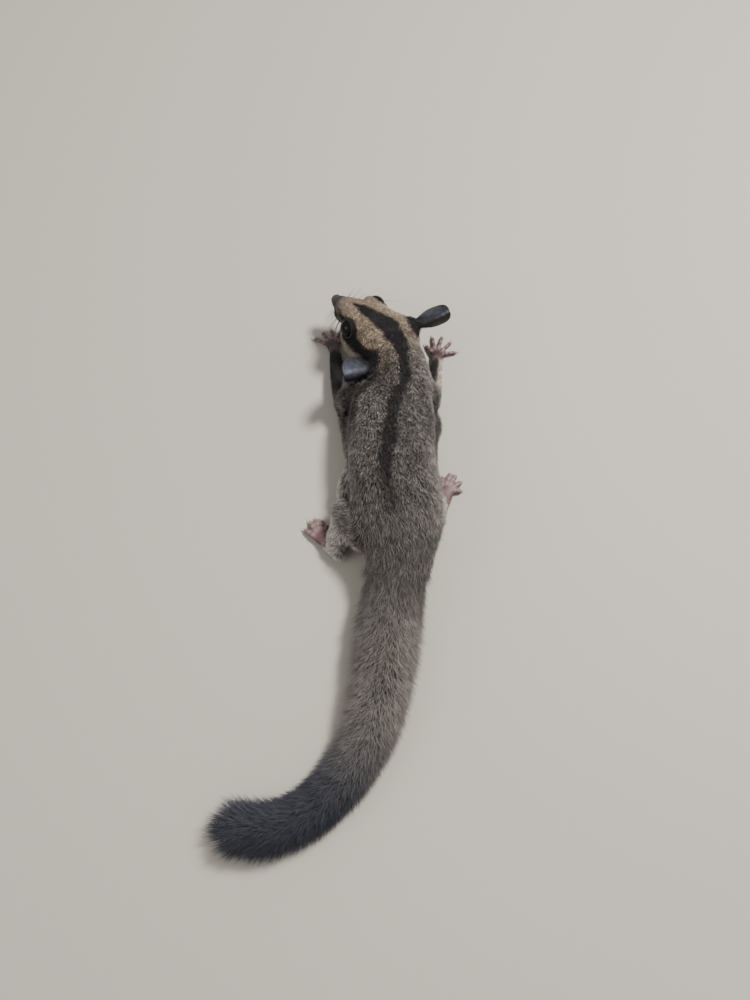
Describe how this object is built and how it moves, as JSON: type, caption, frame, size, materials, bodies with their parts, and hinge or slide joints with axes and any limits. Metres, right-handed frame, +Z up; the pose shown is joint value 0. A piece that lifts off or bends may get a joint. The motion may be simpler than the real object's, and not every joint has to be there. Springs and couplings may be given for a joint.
{
  "type": "sugar glider",
  "caption": "Still life-size sugar glider creeping on the floor, head turned to its left, bushy tail laid in a curve behind it.",
  "frame": {"origin": "centre of the bounding box at the floor, under the belly", "axes": "+Z up, +Y the way the body faces, from tail to head, +X to the animal's right"},
  "size_m": [0.1093, 0.2528, 0.0341],
  "materials": {
    "coat": "soft short fur",
    "dark_coat": "long soft fur",
    "bare_skin": "soft bare skin",
    "ear_skin": "thin bare skin with a slight shine",
    "eye_black": "wet and glossy"
  },
  "bodies": {
    "root": {"head": "coat", "neck": "coat", "torso": "coat", "rump": "coat", "foreleg_left": "coat", "foreleg_right": "coat", "hindleg_left": "coat", "hindleg_right": "coat", "membrane_left": "coat", "membrane_right": "coat", "tail_root": "coat", "tail_upper": "coat", "tail_lower": "coat", "tail_tip": "dark_coat", "hand_left": "bare_skin", "hand_right": "bare_skin", "foot_left": "bare_skin", "foot_right": "bare_skin", "nose": "bare_skin", "ear_left": "ear_skin", "ear_right": "ear_skin", "eye_left": "eye_black", "eye_right": "eye_black"}
  },
  "joints": []
}
